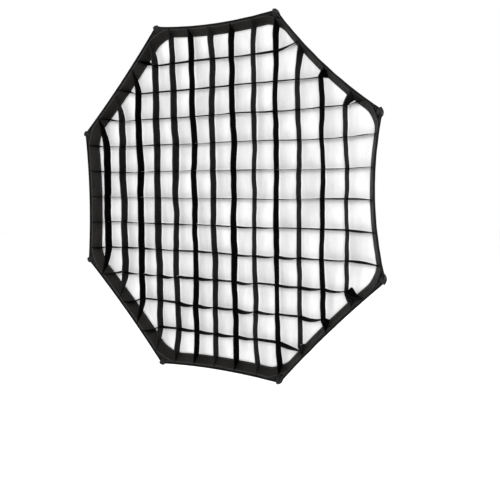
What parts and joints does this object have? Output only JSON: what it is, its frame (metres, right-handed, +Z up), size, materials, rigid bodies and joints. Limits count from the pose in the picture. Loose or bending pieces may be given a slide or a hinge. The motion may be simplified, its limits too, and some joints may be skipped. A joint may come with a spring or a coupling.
{
  "type": "octagonal softbox with grid",
  "caption": "Octagonal rod-frame softbox with a rotating bayonet speed ring, inner and front diffusers and a removable black fabric egg-crate grid.",
  "frame": {"origin": "centre of the lamp-side opening, in the plane of the adapter's seating face", "axes": "+Y along the optical axis towards the lamp, so the light leaves towards -Y; +Z up; +X to the right for a viewer who faces the lit front"},
  "size_m": [1.3944, 0.5517, 1.3944],
  "materials": {
    "cast_aluminium": "fine-blasted casting with turned faces",
    "ring_paint": "satin black powder coat on aluminium",
    "zinc_steel": "zinc plated",
    "brass": "turned brass",
    "black_plastic": "moulded nylon with a fine grain",
    "cap_rubber": "matt moulded rubber",
    "rod_steel": "drawn spring steel",
    "shell_cloth": "black coated nylon, silver on its inner side",
    "webbing": "ribbed black polyester webbing",
    "hook_and_loop": "black hook-and-loop tape",
    "diffuser_cloth": "thin white translucent nylon",
    "elastic": "white knitted elastic",
    "grid_cloth": "stiffened black nylon on edge"
  },
  "bodies": {
    "adapter": {"bayonet_adapter": "cast_aluminium", "retaining_ring": "ring_paint", "retaining_screws": "zinc_steel"},
    "softbox": {"rod_ring": "ring_paint", "rod_1": "rod_steel", "rod_2": "rod_steel", "rod_3": "rod_steel", "rod_4": "rod_steel", "rod_5": "rod_steel", "rod_6": "rod_steel", "rod_7": "rod_steel", "rod_8": "rod_steel", "rod_tip_cap_1": "cap_rubber", "rod_tip_cap_2": "cap_rubber", "rod_tip_cap_3": "cap_rubber", "rod_tip_cap_4": "cap_rubber", "rod_tip_cap_5": "cap_rubber", "rod_tip_cap_6": "cap_rubber", "rod_tip_cap_7": "cap_rubber", "rod_tip_cap_8": "cap_rubber", "rod_ferrules": "zinc_steel", "shell_panel_1": "shell_cloth", "shell_panel_2": "shell_cloth", "shell_panel_3": "shell_cloth", "shell_panel_4": "shell_cloth", "shell_panel_5": "shell_cloth", "shell_panel_6": "shell_cloth", "shell_panel_7": "shell_cloth", "shell_panel_8": "shell_cloth", "corner_pocket_1": "webbing", "corner_pocket_2": "webbing", "corner_pocket_3": "webbing", "corner_pocket_4": "webbing", "corner_pocket_5": "webbing", "corner_pocket_6": "webbing", "corner_pocket_7": "webbing", "corner_pocket_8": "webbing", "rear_skirt": "shell_cloth", "lip_loop_tape": "hook_and_loop"},
    "lock_pad_1": {"lock_pad_1": "brass"},
    "lock_screw_1": {"lock_stud_1": "zinc_steel", "lock_knob_1": "black_plastic"},
    "lock_pad_2": {"lock_pad_2": "brass"},
    "lock_screw_2": {"lock_stud_2": "zinc_steel", "lock_knob_2": "black_plastic"},
    "baffle": {"inner_baffle": "diffuser_cloth", "baffle_straps": "elastic", "baffle_clips": "black_plastic"},
    "diffuser": {"front_diffuser": "diffuser_cloth", "diffuser_hook_tape": "hook_and_loop"},
    "grid": {"grid_border_tape": "hook_and_loop", "grid_upright_strips": "grid_cloth", "grid_level_strips": "grid_cloth"}
  },
  "joints": [
    {"name": "ring_rotation", "type": "hinge", "parent": "adapter", "child": "softbox", "pos_m": [0, 0, 0], "axis": [0, 1, 0], "continuous": true},
    {"name": "lock_pad_1_slide", "type": "slide", "parent": "softbox", "child": "lock_pad_1", "axis": [1, 0, 0], "range_m": [0, 0.00375]},
    {"name": "lock_screw_1_turn", "type": "hinge", "parent": "lock_pad_1", "child": "lock_screw_1", "pos_m": [0, -0.01187, 0], "axis": [1, 0, 0], "range_deg": [0, 1080]},
    {"name": "lock_pad_2_slide", "type": "slide", "parent": "softbox", "child": "lock_pad_2", "axis": [-1, 0, 0], "range_m": [0, 0.00375]},
    {"name": "lock_screw_2_turn", "type": "hinge", "parent": "lock_pad_2", "child": "lock_screw_2", "pos_m": [0, -0.01187, 0], "axis": [-1, 0, 0], "range_deg": [0, 1080]},
    {"name": "baffle_pull_out", "type": "slide", "parent": "softbox", "child": "baffle", "axis": [0, -1, 0], "range_m": [0, 0.3]},
    {"name": "diffuser_pull_off", "type": "slide", "parent": "baffle", "child": "diffuser", "axis": [0, -1, 0], "range_m": [0, 0.2]},
    {"name": "grid_pull_off", "type": "slide", "parent": "diffuser", "child": "grid", "axis": [0, -1, 0], "range_m": [0, 0.2]}
  ],
  "couplings": [
    {"joint": "lock_screw_1_turn", "follows": "lock_pad_1_slide", "rad_per_m": 5026.5},
    {"joint": "lock_screw_2_turn", "follows": "lock_pad_2_slide", "rad_per_m": 5026.5}
  ]
}
